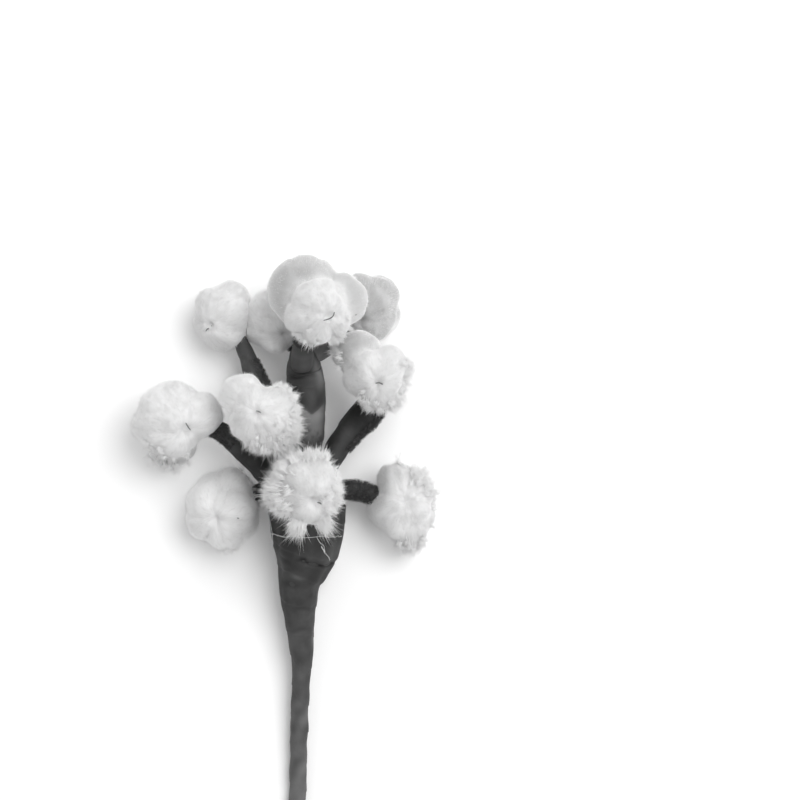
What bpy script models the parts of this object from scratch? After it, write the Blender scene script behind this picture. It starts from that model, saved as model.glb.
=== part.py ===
"""A handmade gypsophila stem lying on a table: white pile heads on wire stalks wound with dark tape.

Lengths are in millimetres up to the moment an object is made. +Y runs from the cut end to the heads,
+Z is up, and the table is at z = 0.
"""

import math

import bmesh
import bpy
import numpy as np
from mathutils import Vector

MM = 0.001
SEAT_GAP = 0.3

# Inside a sleeve each stalk fills most of its slot and leaves a little air.
BUNDLE_GAP = 0.2
SLOT_FILL = 0.9
SLOT_AIR = 0.07

# The tape sleeve, from the cut end to its mouth. Each row: y, x of its middle, outer radius.
WRAP_ROWS = (
    (-211.0, -32.1, 2.45),
    (-112.0, -28.6, 2.45),
    (-95.0, -28.2, 2.5),
    (-83.5, -27.8, 2.6),
    (-75.0, -27.3, 2.72),
    (-69.2, -27.3, 3.46),
    (-63.6, -27.6, 3.9),
    (-58.0, -27.9, 4.7),
    (-52.5, -27.9, 5.5),
    (-49.5, -27.6, 6.1),
    (-46.8, -26.9, 7.2),
    (-44.0, -26.3, 8.0),
    (-41.3, -25.8, 8.9),
    (-37.1, -25.5, 9.8),
    (-29.0, -25.6, 10.7),
)
TAPE_WALL = 0.6
BORE_RUN_OUT = 1.0
WRAP_RESOLUTION = 6
FORK_RESOLUTION = 4
STALK_RESOLUTION = 2

# The stem lies on the table up to LIFT_START and rises from there to the middle of the mouth.
LIFT_START = -115.0
LIE_HEIGHT = 2.45
MOUTH_HEIGHT = 14.8
LIFT_POWER = 1.5

# The tape sleeve above the neck that holds three stalks together. Each row: x, y, z, outer radius.
FORK_ROWS = (
    (-25.7, -17.0, 15.7, 4.4),
    (-25.8, -12.6, 16.1, 4.5),
    (-25.8, -8.8, 16.6, 5.1),
    (-25.8, -2.7, 17.0, 5.5),
    (-25.8, 2.7, 17.3, 5.4),
    (-26.0, 6.6, 17.7, 5.2),
    (-26.3, 8.8, 18.2, 4.8),
)

# Nine stalks stand in a ring round the tenth. "slot" is a stalk's angle in that ring, in degrees
# from +X towards +Z, and "fork" its angle among the three in the fork sleeve. "way" leads on from
# there to inside its head. Each point: x, y, z, radius.
STALKS = {
    "stalk_1": {
        "slot": 170,
        "way": (
            (-37.8, -18.6, 17.8, 3.3),
            (-42.1, -14.2, 18.5, 3.2),
            (-48.7, -8.8, 18.5, 2.8),
            (-53.9, -6.6, 18.5, 2.3),
            (-58.5, -5.7, 18.3, 1.6),
        ),
    },
    "stalk_2": {
        "slot": 250,
        "way": (
            (-29.9, -21.6, 9.8, 2.3),
            (-32.6, -11.0, 11.0, 2.6),
            (-35.9, -1.4, 11.5, 2.9),
            (-39.9, 6.1, 11.5, 2.8),
            (-42.6, 13.0, 11.0, 2.2),
            (-44.5, 17.1, 10.6, 1.9),
            (-46.7, 20.7, 10.2, 1.5),
        ),
    },
    "stalk_3": {
        "slot": 210,
        "way": (
            (-32.8, -25.4, 11.3, 2.0),
            (-36.5, -24.3, 11.0, 2.0),
            (-40.3, -26.0, 11.0, 1.8),
            (-44.2, -27.6, 11.0, 1.5),
        ),
    },
    "stalk_4": {
        "slot": 130,
        "way": (
            (-31.5, -21.2, 23.0, 2.3),
            (-34.2, -14.1, 25.5, 2.2),
            (-36.2, -8.6, 28.5, 2.0),
            (-37.4, -5.4, 32.0, 1.5),
        ),
    },
    "stalk_5": {
        "slot": 90,
        "way": (
            (-24.9, -26.5, 26.0, 2.1),
            (-24.5, -25.3, 30.0, 1.8),
            (-24.4, -24.7, 34.0, 1.5),
        ),
    },
    "stalk_6": {
        "slot": None,
        "fork": 150,
        "way": (
            (-26.6, 13.0, 23.8, 2.7),
            (-25.7, 17.0, 28.0, 2.5),
            (-23.9, 21.0, 32.5, 1.6),
        ),
    },
    "stalk_7": {
        "slot": 50,
        "fork": 30,
        "way": (
            (-24.2, 10.8, 19.4, 1.8),
            (-22.0, 12.8, 18.2, 2.3),
            (-19.2, 15.4, 16.0, 2.5),
            (-16.4, 18.8, 13.6, 2.3),
            (-13.3, 22.6, 11.3, 1.6),
        ),
    },
    "stalk_8": {
        "slot": 10,
        "way": (
            (-19.5, -20.3, 14.9, 2.3),
            (-17.8, -14.2, 13.3, 3.2),
            (-13.3, -7.8, 12.4, 3.7),
            (-8.8, -3.0, 12.8, 4.2),
            (-6.7, 0.1, 15.2, 3.1),
            (-5.9, 2.4, 18.8, 2.2),
            (-5.7, 4.0, 22.5, 1.6),
        ),
    },
    "stalk_9": {
        "slot": 330,
        "way": (
            (-18.2, -25.7, 11.3, 2.1),
            (-14.4, -24.9, 11.0, 2.2),
            (-9.9, -25.4, 10.8, 2.2),
            (-6.1, -26.8, 10.6, 1.9),
            (-2.2, -28.2, 10.4, 1.5),
        ),
    },
    "stalk_10": {
        "slot": 290,
        "fork": 270,
        "way": (
            (-26.5, 10.8, 15.7, 1.7),
            (-27.5, 12.9, 13.8, 1.9),
            (-29.2, 15.2, 11.6, 1.9),
            (-31.0, 17.4, 10.2, 1.8),
            (-32.9, 19.9, 9.6, 1.5),
        ),
    },
}
STALK_STEP = 4.2

# This stalk shows its own dark pile between the two x.
BARE_STALK = "stalk_9"
BARE_PILE_X = (-15.5, -9.0)
BARE_PILE_LENGTH = 1.3

# Each head: its main ball and the lobes that bulge out of it, as x, y, z, radius. "eye" points from
# its middle to the dimple where the winding ends, and "rests" says that it stands on the table.
HEADS = {
    "head_1": {
        "balls": ((-63.2, -5.5, 18.0, 10.7), (-54.7, -5.5, 19.0, 6.3), (-62.9, -11.9, 12.0, 7.4)),
        "eye": (0.5, 0.2, 0.85),
        "rests": False,
    },
    "head_2": {
        "balls": ((-48.4, 23.5, 9.3, 9.7),),
        "eye": (-0.45, -0.35, 0.8),
        "rests": True,
    },
    "head_3": {
        "balls": ((-48.8, -30.1, 10.7, 11.4),),
        "eye": (-0.2, -0.3, 0.9),
        "rests": True,
    },
    "head_4": {
        "balls": ((-36.7, -4.5, 35.0, 10.4), (-42.6, 1.9, 33.5, 7.0)),
        "eye": (0.0, 0.05, 1.0),
        "rests": False,
    },
    "head_5": {
        "balls": ((-24.3, -23.7, 38.0, 10.9), (-23.5, -29.7, 35.5, 7.0)),
        "eye": (0.15, -0.5, 0.85),
        "rests": False,
    },
    "head_6": {
        "balls": ((-22.0, 24.1, 35.0, 9.3), (-25.7, 29.2, 28.0, 10.3), (-15.4, 27.3, 28.0, 7.3)),
        "eye": (0.3, -0.1, 0.95),
        "rests": False,
    },
    "head_7": {
        "balls": ((-9.4, 25.5, 9.6, 10.2), (-5.5, 28.8, 10.0, 6.1)),
        "eye": (-0.2, -0.4, 0.9),
        "rests": True,
    },
    "head_8": {
        "balls": ((-6.0, 6.0, 27.0, 9.7), (-11.7, 13.0, 24.5, 7.4)),
        "eye": (0.0, -0.1, 1.0),
        "rests": False,
    },
    "head_9": {
        "balls": ((0.8, -29.6, 9.8, 10.2), (-0.8, -22.9, 11.0, 6.6), (2.2, -36.0, 9.5, 6.1)),
        "eye": (0.1, 0.25, 0.95),
        "rests": True,
    },
    "head_10": {
        "balls": ((-34.0, 22.1, 9.8, 10.0),),
        "eye": (0.3, -0.5, 0.8),
        "rests": False,
    },
}

# A head is wound in turns that bulge a little. Lengths here are shares of the head's radius.
TURNS = 8
TURN_RADIUS = (0.58, 0.65)
TURN_OFFSET = 0.40
TURN_WANDER = 0.4
CORE_RADIUS = 0.86
PILE_ROOT = 0.88
PILE_TIP = 1.03
ROOT_SPREAD = 0.02
TIP_SPREAD = 0.05
TIP_LEAN = 6
EYE_DEPTH = 0.28
EYE_ANGLE = math.radians(13)
STALK_PART_ANGLE = math.radians(24)
FLAT_ANGLE = math.radians(25)
HEAD_DETAIL = 3
HEAD_SEED = 100
SOCKET_REACH = 1.7

PILE_COLOUR = (0.80, 0.80, 0.80)
PILE_ROUGHNESS = 0.9
TAPE_COLOUR = (0.055, 0.055, 0.055)
TAPE_ROUGHNESS = 0.6


def clear_scene():
    for obj in list(bpy.data.objects):
        bpy.data.objects.remove(obj, do_unlink=True)


def new_collection(name):
    collection = bpy.data.collections.new(name)
    bpy.context.scene.collection.children.link(collection)
    return collection


def paint(obj, colour, roughness):
    material = bpy.data.materials.new(obj.name)
    material.use_nodes = True
    shader = material.node_tree.nodes["Principled BSDF"]
    shader.inputs["Base Color"].default_value = (*colour, 1.0)
    shader.inputs["Roughness"].default_value = roughness
    shader.inputs["Metallic"].default_value = 0.0
    obj.data.materials.append(material)


def stem_height(y):
    """Height of the stem's middle: it lies flat, then lifts in one gentle curve to the mouth."""
    mouth = WRAP_ROWS[-1][0]
    rise = max(0.0, (y - LIFT_START) / (mouth - LIFT_START)) ** LIFT_POWER
    return LIE_HEIGHT + (MOUTH_HEIGHT - LIE_HEIGHT) * rise


def wrap_rows():
    return np.array([(x, y, stem_height(y), radius) for y, x, radius in WRAP_ROWS])


def slot_rows(sleeve, count, angle):
    """One stalk's place in a sleeve: `count` equal circles touch in a ring inside its bore."""
    bore = sleeve[:, 3] - TAPE_WALL - BUNDLE_GAP
    spread = 1 / math.sin(math.pi / count)
    pitch = bore / (1 + spread)
    rows = sleeve.copy()
    rows[:, 3] = SLOT_FILL * pitch - SLOT_AIR
    if angle is not None:
        turn = math.radians(angle)
        rows[:, 0] += pitch * spread * math.cos(turn)
        rows[:, 2] += pitch * spread * math.sin(turn)
    return rows


def path_lengths(rows):
    steps = np.linalg.norm(np.diff(rows[:, :3], axis=0), axis=1)
    return np.concatenate([[0.0], np.cumsum(steps)])


def smooth_rows(rows, stations):
    """A cubic through the rows, read at the given lengths along it."""
    lengths = path_lengths(rows)
    slopes = np.gradient(rows, lengths, axis=0)
    start = np.clip(np.searchsorted(lengths, stations, side="right") - 1, 0, len(rows) - 2)
    span = (lengths[start + 1] - lengths[start])[:, None]
    t = (stations - lengths[start])[:, None] / span
    return (
        (2 * t**3 - 3 * t**2 + 1) * rows[start]
        + (t**3 - 2 * t**2 + t) * span * slopes[start]
        + (3 * t**2 - 2 * t**3) * rows[start + 1]
        + (t**3 - t**2) * span * slopes[start + 1]
    )


def stalk_rows(stalk):
    """The whole stalk: down the neck in its slot, through the fork if it has one, and to its head."""
    in_neck = slot_rows(wrap_rows(), len(STALKS) - 1, stalk["slot"])
    parts = [in_neck]
    if "fork" in stalk:
        parts.append(slot_rows(np.array(FORK_ROWS), 3, stalk["fork"]))
    parts.append(np.array(stalk["way"]))
    rows = np.concatenate(parts)
    lengths = path_lengths(rows)
    stations = list(lengths[: len(in_neck)])
    for start, end in zip(lengths[len(in_neck) - 1 :], lengths[len(in_neck) :]):
        steps = max(1, round((end - start) / STALK_STEP))
        stations.extend(np.linspace(start, end, steps + 1)[1:])
    return smooth_rows(rows, np.array(stations))


def tube(name, rows, resolution, collection):
    """A round tube whose radius follows the rows."""
    curve = bpy.data.curves.new(name, "CURVE")
    curve.dimensions = "3D"
    curve.bevel_depth = MM
    curve.bevel_resolution = resolution
    curve.use_fill_caps = True
    spline = curve.splines.new("POLY")
    spline.points.add(len(rows) - 1)
    for point, (x, y, z, radius) in zip(spline.points, rows):
        point.co = (x * MM, y * MM, z * MM, 1.0)
        point.radius = radius
    obj = bpy.data.objects.new(name, curve)
    collection.objects.link(obj)
    return obj


def made_mesh(obj, collection):
    """The same shape as a mesh object with its caps welded on, in place of the curve."""
    graph = bpy.context.evaluated_depsgraph_get()
    mesh = bpy.data.meshes.new_from_object(obj.evaluated_get(graph))
    form = bmesh.new()
    form.from_mesh(mesh)
    bmesh.ops.remove_doubles(form, verts=form.verts, dist=0.01 * MM)
    bmesh.ops.recalc_face_normals(form, faces=form.faces)
    form.to_mesh(mesh)
    form.free()
    name, place = obj.name, obj.matrix_world.copy()
    bpy.data.objects.remove(obj, do_unlink=True)
    solid = bpy.data.objects.new(name, mesh)
    solid.matrix_world = place
    collection.objects.link(solid)
    return solid


def cut(obj, cutter):
    cutter.hide_render = True
    cutter.display_type = "WIRE"
    boolean = obj.modifiers.new(cutter.name, "BOOLEAN")
    boolean.operation = "DIFFERENCE"
    boolean.solver = "EXACT"
    boolean.object = cutter


def run_out(before, end, distance):
    """The row that lies straight on past the end of a tube."""
    row = end.copy()
    way = end[:3] - before[:3]
    row[:3] += distance * way / np.linalg.norm(way)
    return row


def sleeve(name, rows, resolution, parts, cutters):
    """A tape sleeve: an outer tube with a bore that runs out past both ends."""
    outer = made_mesh(tube(name, rows, resolution, parts), parts)
    bore = rows.copy()
    bore[:, 3] -= TAPE_WALL
    first = run_out(bore[1], bore[0], BORE_RUN_OUT)
    last = run_out(bore[-2], bore[-1], BORE_RUN_OUT)
    bore = np.concatenate([[first], bore, [last]])
    cut(outer, made_mesh(tube(name + "_bore", bore, resolution, cutters), cutters))
    return outer


def raise_bare_pile(obj):
    """Pokes the stalk's faces between the two BARE_PILE_X into short spikes of dark pile."""
    form = bmesh.new()
    form.from_mesh(obj.data)
    low, high = (x * MM for x in BARE_PILE_X)
    bare = [face for face in form.faces if low < face.calc_center_median().x < high]
    bmesh.ops.poke(form, faces=bare, offset=BARE_PILE_LENGTH * MM)
    form.to_mesh(obj.data)
    form.free()


def main_ball(name):
    x, y, z, radius = HEADS[name]["balls"][0]
    return np.array((x, y, z)), radius


def turned_balls(name, rng):
    """The head's balls with its winding turns added: balls set off-centre on a jittered spiral."""
    middle, radius = main_ball(name)
    made = [(np.zeros(3), CORE_RADIUS * radius)]
    for i in range(TURNS):
        height = 1 - (2 * i + 1) / TURNS
        around = i * math.pi * (3 - math.sqrt(5)) + rng.uniform(-TURN_WANDER, TURN_WANDER)
        width = math.sqrt(1 - height * height)
        way = np.array((width * math.cos(around), width * math.sin(around), height))
        made.append((TURN_OFFSET * radius * way, rng.uniform(*TURN_RADIUS) * radius))
    for x, y, z, radius in HEADS[name]["balls"][1:]:
        made.append((np.array((x, y, z)) - middle, radius))
    return made


def reach(balls, way):
    """How far the balls extend from the head's middle in one direction: the furthest exit."""
    furthest = 0.0
    for centre, radius in balls:
        along = float(centre @ way)
        inside = radius * radius - float(centre @ centre) + along * along
        if inside > 0:
            furthest = max(furthest, along + math.sqrt(inside))
    return furthest


def press_planes(name):
    """Planes that the pile is pressed against: the table, and half-way to a head that it touches."""
    middle, radius = main_ball(name)
    planes = [(np.array((0.0, 0.0, -1.0)), middle[2])]
    for other in HEADS:
        other_middle, other_radius = main_ball(other)
        apart = other_middle - middle
        distance = float(np.linalg.norm(apart))
        if other != name and distance < radius + other_radius:
            share = (distance**2 + radius**2 - other_radius**2) / (2 * distance)
            planes.append((apart / distance, share - SEAT_GAP / 2))
    return planes


def head_object(name, entry, rng, collection):
    """A ball of pile: each face of a lobed sphere is raised to a spike, three to a tuft.

    The surface lies at the furthest exit from a cluster of balls. Roots stand at PILE_ROOT of that
    and tips at PILE_TIP. The pile is shorter in the eye and where the stalk parts it, and it is
    pressed flat against the table and its neighbour.
    """
    head = HEADS[name]
    balls = turned_balls(name, rng)
    planes = press_planes(name)
    eye = np.array(head["eye"]) / np.linalg.norm(head["eye"])
    form = bmesh.new()
    bmesh.ops.create_icosphere(form, subdivisions=HEAD_DETAIL, radius=1.0)
    roots = form.verts[:]
    tips = bmesh.ops.poke(form, faces=form.faces[:])["verts"]
    for tip in tips:
        corners = [edge.other_vert(tip).co for edge in tip.link_edges]
        shares = rng.dirichlet((TIP_LEAN,) * 3)
        tip.co = sum((c * s for c, s in zip(corners, shares)), Vector())
    for verts, share, spread in ((roots, PILE_ROOT, ROOT_SPREAD), (tips, PILE_TIP, TIP_SPREAD)):
        for vert in verts:
            way = np.array(vert.co.normalized())
            length = reach(balls, way) * share * (1 + rng.uniform(-spread, spread))
            from_eye = math.acos(min(1.0, float(way @ eye)))
            length *= 1 - EYE_DEPTH * math.exp(-((from_eye / EYE_ANGLE) ** 2))
            if float(way @ entry) > math.cos(STALK_PART_ANGLE):
                length = min(length, reach(balls, way) * PILE_ROOT)
            for normal, distance in planes:
                facing = float(way @ normal)
                if facing > 0:
                    length = min(length, distance / facing)
            if head["rests"] and -way[2] > math.cos(FLAT_ANGLE):
                length = planes[0][1] / -way[2]
            vert.co = Vector(way * length * MM)
    mesh = bpy.data.meshes.new(name)
    form.to_mesh(mesh)
    form.free()
    obj = bpy.data.objects.new(name, mesh)
    obj.location = main_ball(name)[0] * MM
    collection.objects.link(obj)
    return obj


def socket_rows(rows, name):
    """The stalk's last stretch, wider by the seat gap, as far back as clears its head."""
    middle, radius = main_ball(name)
    near = np.linalg.norm(rows[:, :3] - middle, axis=1) < SOCKET_REACH * radius
    near[: len(WRAP_ROWS)] = False
    wide = rows[near].copy()
    wide[:, 3] += SEAT_GAP
    wide[-1] = run_out(wide[-2], wide[-1], SEAT_GAP)
    return wide


def centre_on_table(holder, parts):
    """Moves the holder so that the middle of the parts' box is above the origin."""
    bpy.context.view_layer.update()
    graph = bpy.context.evaluated_depsgraph_get()
    low, high = Vector((1e9,) * 3), Vector((-1e9,) * 3)
    for obj in parts.objects:
        if obj.type == "EMPTY":
            continue
        evaluated = obj.evaluated_get(graph)
        for vert in evaluated.to_mesh().vertices:
            place = obj.matrix_world @ vert.co
            low = Vector(map(min, low, place))
            high = Vector(map(max, high, place))
        evaluated.to_mesh_clear()
    holder.location.x = -(low.x + high.x) / 2
    holder.location.y = -(low.y + high.y) / 2


def main():
    clear_scene()
    parts = new_collection("gypsophila_stem")
    cutters = new_collection("cutters")
    cutters.hide_render = True

    stem_wrap = sleeve("stem_wrap", wrap_rows(), WRAP_RESOLUTION, parts, cutters)
    paint(stem_wrap, TAPE_COLOUR, TAPE_ROUGHNESS)
    fork_wrap = sleeve("fork_wrap", np.array(FORK_ROWS), FORK_RESOLUTION, parts, cutters)
    paint(fork_wrap, TAPE_COLOUR, TAPE_ROUGHNESS)

    for i, (name, stalk) in enumerate(STALKS.items()):
        rows = stalk_rows(stalk)
        obj = tube(name, rows, STALK_RESOLUTION, parts)
        if name == BARE_STALK:
            obj = made_mesh(obj, parts)
            raise_bare_pile(obj)
        paint(obj, TAPE_COLOUR, TAPE_ROUGHNESS)

        head_name = name.replace("stalk", "head")
        wide = socket_rows(rows, head_name)
        entry = wide[len(wide) // 2, :3] - main_ball(head_name)[0]
        rng = np.random.default_rng(HEAD_SEED + i)
        head = head_object(head_name, entry / np.linalg.norm(entry), rng, parts)
        socket = tube(head_name + "_socket", wide, STALK_RESOLUTION, cutters)
        cut(head, made_mesh(socket, cutters))
        paint(head, PILE_COLOUR, PILE_ROUGHNESS)

    holder = bpy.data.objects.new("gypsophila_stem", None)
    parts.objects.link(holder)
    for obj in list(parts.objects) + list(cutters.objects):
        if obj is not holder:
            obj.parent = holder
    centre_on_table(holder, parts)


main()
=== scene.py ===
"""The looks of a handmade gypsophila stem: tape-wound wires, and flower heads wound from chenille.

Shapes are worked out in millimetres from the middle of the photographed sheet, with +Y along the
stem towards its heads and the table at z = 0, and are put into the part's frame as they are made.
"""

import bpy
import mathutils
import numpy as np
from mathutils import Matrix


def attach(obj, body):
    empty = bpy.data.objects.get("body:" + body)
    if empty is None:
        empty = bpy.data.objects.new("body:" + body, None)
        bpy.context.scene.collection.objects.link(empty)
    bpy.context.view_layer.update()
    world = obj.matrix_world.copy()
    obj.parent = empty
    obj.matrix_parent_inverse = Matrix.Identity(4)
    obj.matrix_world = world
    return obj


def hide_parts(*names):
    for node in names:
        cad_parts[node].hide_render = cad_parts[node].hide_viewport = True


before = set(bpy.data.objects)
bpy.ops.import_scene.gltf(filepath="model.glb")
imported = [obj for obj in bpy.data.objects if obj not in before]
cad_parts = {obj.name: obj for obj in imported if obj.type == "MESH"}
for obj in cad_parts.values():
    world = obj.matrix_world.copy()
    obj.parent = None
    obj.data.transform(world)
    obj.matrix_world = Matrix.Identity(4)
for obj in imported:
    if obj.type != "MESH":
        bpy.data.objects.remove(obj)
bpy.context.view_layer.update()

# Main sleeve. Floral tape, a waxed crepe paper, is wound up the bundle of wires and on over the
# thick lower ends of the stalks, where it flares into the neck. Each turn half covers the last,
# so the edge of the tape shows as a fine step, and cross folds form where the neck narrows.
MM = 0.001
# the middle of the photographed sheet in the part's frame, in metres
SHEET_MIDDLE = np.array((0.031715, 0.085439, 0.0))

# each row: y, the x of its middle, its outer radius
SLEEVE_ROWS = np.array((
    (-211.0, -32.1, 2.45),
    (-112.0, -28.6, 2.45),
    (-95.0, -28.2, 2.5),
    (-83.5, -27.8, 2.6),
    (-75.0, -27.3, 2.72),
    (-69.2, -27.3, 3.46),
    (-63.6, -27.6, 3.9),
    (-58.0, -27.9, 4.7),
    (-52.5, -27.9, 5.5),
    (-49.5, -27.6, 6.1),
    (-46.8, -26.9, 7.2),
    (-44.0, -26.3, 8.0),
    (-41.3, -25.8, 8.9),
    (-37.1, -25.5, 9.8),
    (-29.0, -25.6, 10.7),
))
LIFT_START = -115.0
LIE_HEIGHT = 2.45
MOUTH_HEIGHT = 14.8
LIFT_POWER = 1.5
TAPE_WALL = 0.6
SLEEVE_STEP = 0.4
SLEEVE_SIDES = 64
BORE_SKIP = 12
SLEEVE_TAPE_STEP = 8.5
SLEEVE_SEED = 7
TAPE_EDGE = 0.16
TAPE_ROUGH = 0.10
TAPE_WANDER = 0.16
EDGE_LINE = 0.045
EDGE_BEFORE = 0.5
CRUMPLE_WAVES = 14
CRUMPLE_LENGTHS = (4, 18)
CRUMPLE_ROUND = 4

# the stalks round the middle one raise as many soft ribs, on the sleeve's wider part only
RIBS = 9
RIB_HEIGHT = 0.3
RIB_TURN = np.radians(10)
RIBS_FROM_RADIUS = 4.0
RIBS_FULL_RADIUS = 9.0

FOLD_WAVE = 0.35
FOLD_BENDS = 3
# the fold depth at which the painted shade in a fold is at its darkest
FULL_SHADE_FOLD_DEPTH = 0.8
# y, depth, width along the stem, and where round the stem its middle is and how far it spreads,
# in degrees from the stem's right
NECK_FOLDS = (
    (-42.9, 0.85, 0.5, 52, 46),
    (-42.2, 0.8, 1.0, 91, 6),
    (-43.9, 0.45, 1.0, 130, 13),
    (-50.3, 0.4, 0.9, 118, 26),
    (-57.0, 0.3, 0.9, 60, 40),
    (-63.0, 0.25, 0.8, 100, 50),
)
# places where the neck's tape is drawn paler, as y, width along the stem, angle, its width, how pale;
# the two on its right edge are painted highlights
NECK_PALE_AND_HIGHLIGHTS = (
    (-47.7, 0.6, 98, 14, 0.3),
    # painted highlights along the neck's right edge
    (-53.5, 2.2, 8, 9, 0.4),
    (-66.0, 3.0, 20, 12, 0.3),
    (-38.5, 3.0, 168, 6, 0.3),
)
# how far from the cut end the tape is drawn paler as painted light, in mm along the sleeve, and how
# pale
PALE_FROM = 150.0
PALE_TO = 92.0
CUT_PALE = 0.55
PALE_UNEVEN = 0.3
PALE_SEED = 11
EDGE_PALE = 0.2


def grey(level):
    """A colour with the same level of red, green and blue: the photograph has no hue."""
    return (level, level, level, 1)


TAPE_DARK = grey(0.028)
TAPE_WORN = grey(0.065)
# the marks on the tape and the colour that each brings, laid over those before it; the pale one is
# partly painted light, and the near-black one is painted shade in folds, above the flap's edge and on
# stalks drawn as shaded
TAPE_MARKS = {"edge": grey(0.13), "pale": grey(0.20), "painted_shade": grey(0.004), "bare": grey(0.45)}
TAPE_FINISH = {"Roughness": 0.6, "Specular IOR Level": 0.25}
TAPE_WEAR = {"Scale": 0.11, "Detail": 5, "From": 0.42, "To": 0.72}
CRINKLE = {"Scale": 1.6, "Detail": 4, "Roughness": 0.6}
CRINKLE_STRETCH = (0.25, 1.6, 1.6)
CRINKLE_BUMP = {"Strength": 0.5, "Distance": 0.12 * MM}


def sleeve_line():
    """The sleeve's rows as x, y, z, radius: flat on the table, then lifting as a power of y."""
    y, x, radius = SLEEVE_ROWS.T
    rise = np.maximum(0, (y - LIFT_START) / (y[-1] - LIFT_START)) ** LIFT_POWER
    return np.stack([x, y, LIE_HEIGHT + (MOUTH_HEIGHT - LIE_HEIGHT) * rise, radius], axis=1)


def lengths_along(rows):
    """The length of the path up to each row: the sum of the straight steps before it."""
    steps = np.linalg.norm(np.diff(rows[:, :3], axis=0), axis=1)
    return np.concatenate([[0.0], np.cumsum(steps)])


def evenly(start, end, step):
    """Lengths from start to end at equal steps, each the given step or a little longer."""
    return np.linspace(start, end, max(2, int((end - start) / step) + 1))


def drawn_smooth(rows, stations):
    """A cubic through the rows, its slopes the mean of its neighbours', read at these lengths."""
    lengths = lengths_along(rows)
    slopes = np.gradient(rows, lengths, axis=0)
    start = np.clip(np.searchsorted(lengths, stations, side="right") - 1, 0, len(rows) - 2)
    span = (lengths[start + 1] - lengths[start])[:, None]
    t = (stations - lengths[start])[:, None] / span
    return (
        (2 * t**3 - 3 * t**2 + 1) * rows[start]
        + (t**3 - 2 * t**2 + t) * span * slopes[start]
        + (3 * t**2 - 2 * t**3) * rows[start + 1]
        + (t**3 - t**2) * span * slopes[start + 1]
    )


def drawn_evenly(rows, step):
    """The path through the rows drawn smooth, read at equal steps, and the lengths of those."""
    lengths = evenly(0, lengths_along(rows)[-1], step)
    return drawn_smooth(rows, lengths), lengths


def unit(vectors):
    """The vectors over their own lengths."""
    return vectors / np.linalg.norm(vectors, axis=-1, keepdims=True)


def right_and_down(line):
    """Two unit directions across a path that runs about +Y: to its right, and downward."""
    forward = unit(np.gradient(line, axis=0))
    right = unit(np.cross(forward, (0, 0, 1)))
    return right, np.cross(forward, right)


def crumple(lengths, angles, seed):
    """Soft unevenness of about -1 to 1: a sum of waves that run round the tube a whole number of
    times and along it at CRUMPLE_LENGTHS mm."""
    rng = np.random.default_rng(seed)
    total = 0
    for _ in range(CRUMPLE_WAVES):
        around = rng.integers(0, CRUMPLE_ROUND)
        along = 2 * np.pi / rng.uniform(*CRUMPLE_LENGTHS)
        total = total + np.cos(along * lengths + around * angles + rng.uniform(0, 2 * np.pi))
    return total / CRUMPLE_WAVES**0.5


def winding(lengths, angles, tape_step, seed):
    """Height of wound tape over its base, and how near its edge is, from 0 to 1.

    The tape's turn count is length / tape_step + angle / 2 pi, made uneven by crumple. Height falls
    from TAPE_EDGE to 0 over each turn, like a saw's tooth, and steps up again at the next edge."""
    turns = lengths / tape_step + angles / (2 * np.pi) + TAPE_WANDER * crumple(lengths, angles, seed)
    turned = turns % 1
    near = np.exp(-turned / EDGE_LINE) + EDGE_BEFORE * np.exp(-(1 - turned) / EDGE_LINE)
    height = TAPE_EDGE * (1 - turned) + TAPE_ROUGH * crumple(lengths, angles, seed + 1)
    return height, np.minimum(near, 1)


def ring_angles(sides):
    """Angles at equal steps round a full turn."""
    return np.linspace(0, 2 * np.pi, sides, endpoint=False)


def bell(x):
    """A bell-shaped curve: 1 at 0, and falling to 0 on both sides as exp(-x squared)."""
    return np.exp(-(x**2))


def bent_tube(line, side, up, wall, lengths):
    """Points round a line, ring by ring: `wall` is how far each is from the line, at even angles from
    `side` towards `up`. With them their places on the unbent tube: the length along it and the same
    two distances across."""
    angles = ring_angles(wall.shape[1])
    out_x, out_y = wall * np.cos(angles), wall * np.sin(angles)
    points = line[:, None] + out_x[..., None] * side[:, None] + out_y[..., None] * up[:, None]
    straight = np.stack([np.broadcast_to(lengths[:, None], wall.shape), out_x, out_y], axis=-1)
    return points.reshape(-1, 3), straight.reshape(-1, 3)


def tube_triangles(rings, sides, closed):
    """Triangles between rings of points. The last ring joins the first if closed; otherwise a fan
    of triangles closes each end."""
    ring = np.arange(rings if closed else rings - 1)[:, None] * sides
    side = np.arange(sides)[None, :]
    a = ring + side
    b = ring + (side + 1) % sides
    c = (b + sides) % (rings * sides)
    d = (a + sides) % (rings * sides)
    walls = [np.stack([a, b, c], -1).reshape(-1, 3), np.stack([a, c, d], -1).reshape(-1, 3)]
    if closed:
        return np.concatenate(walls)
    k = np.arange(1, sides - 1)
    first = np.stack([0 * k, k + 1, k], axis=1)
    last = np.stack([0 * k, k, k + 1], axis=1) + (rings - 1) * sides
    return np.concatenate([*walls, first, last])


def placed(name, data):
    """An object of this mesh, light or camera, put in the scene."""
    obj = bpy.data.objects.new(name, data)
    bpy.context.scene.collection.objects.link(obj)
    return obj


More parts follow.
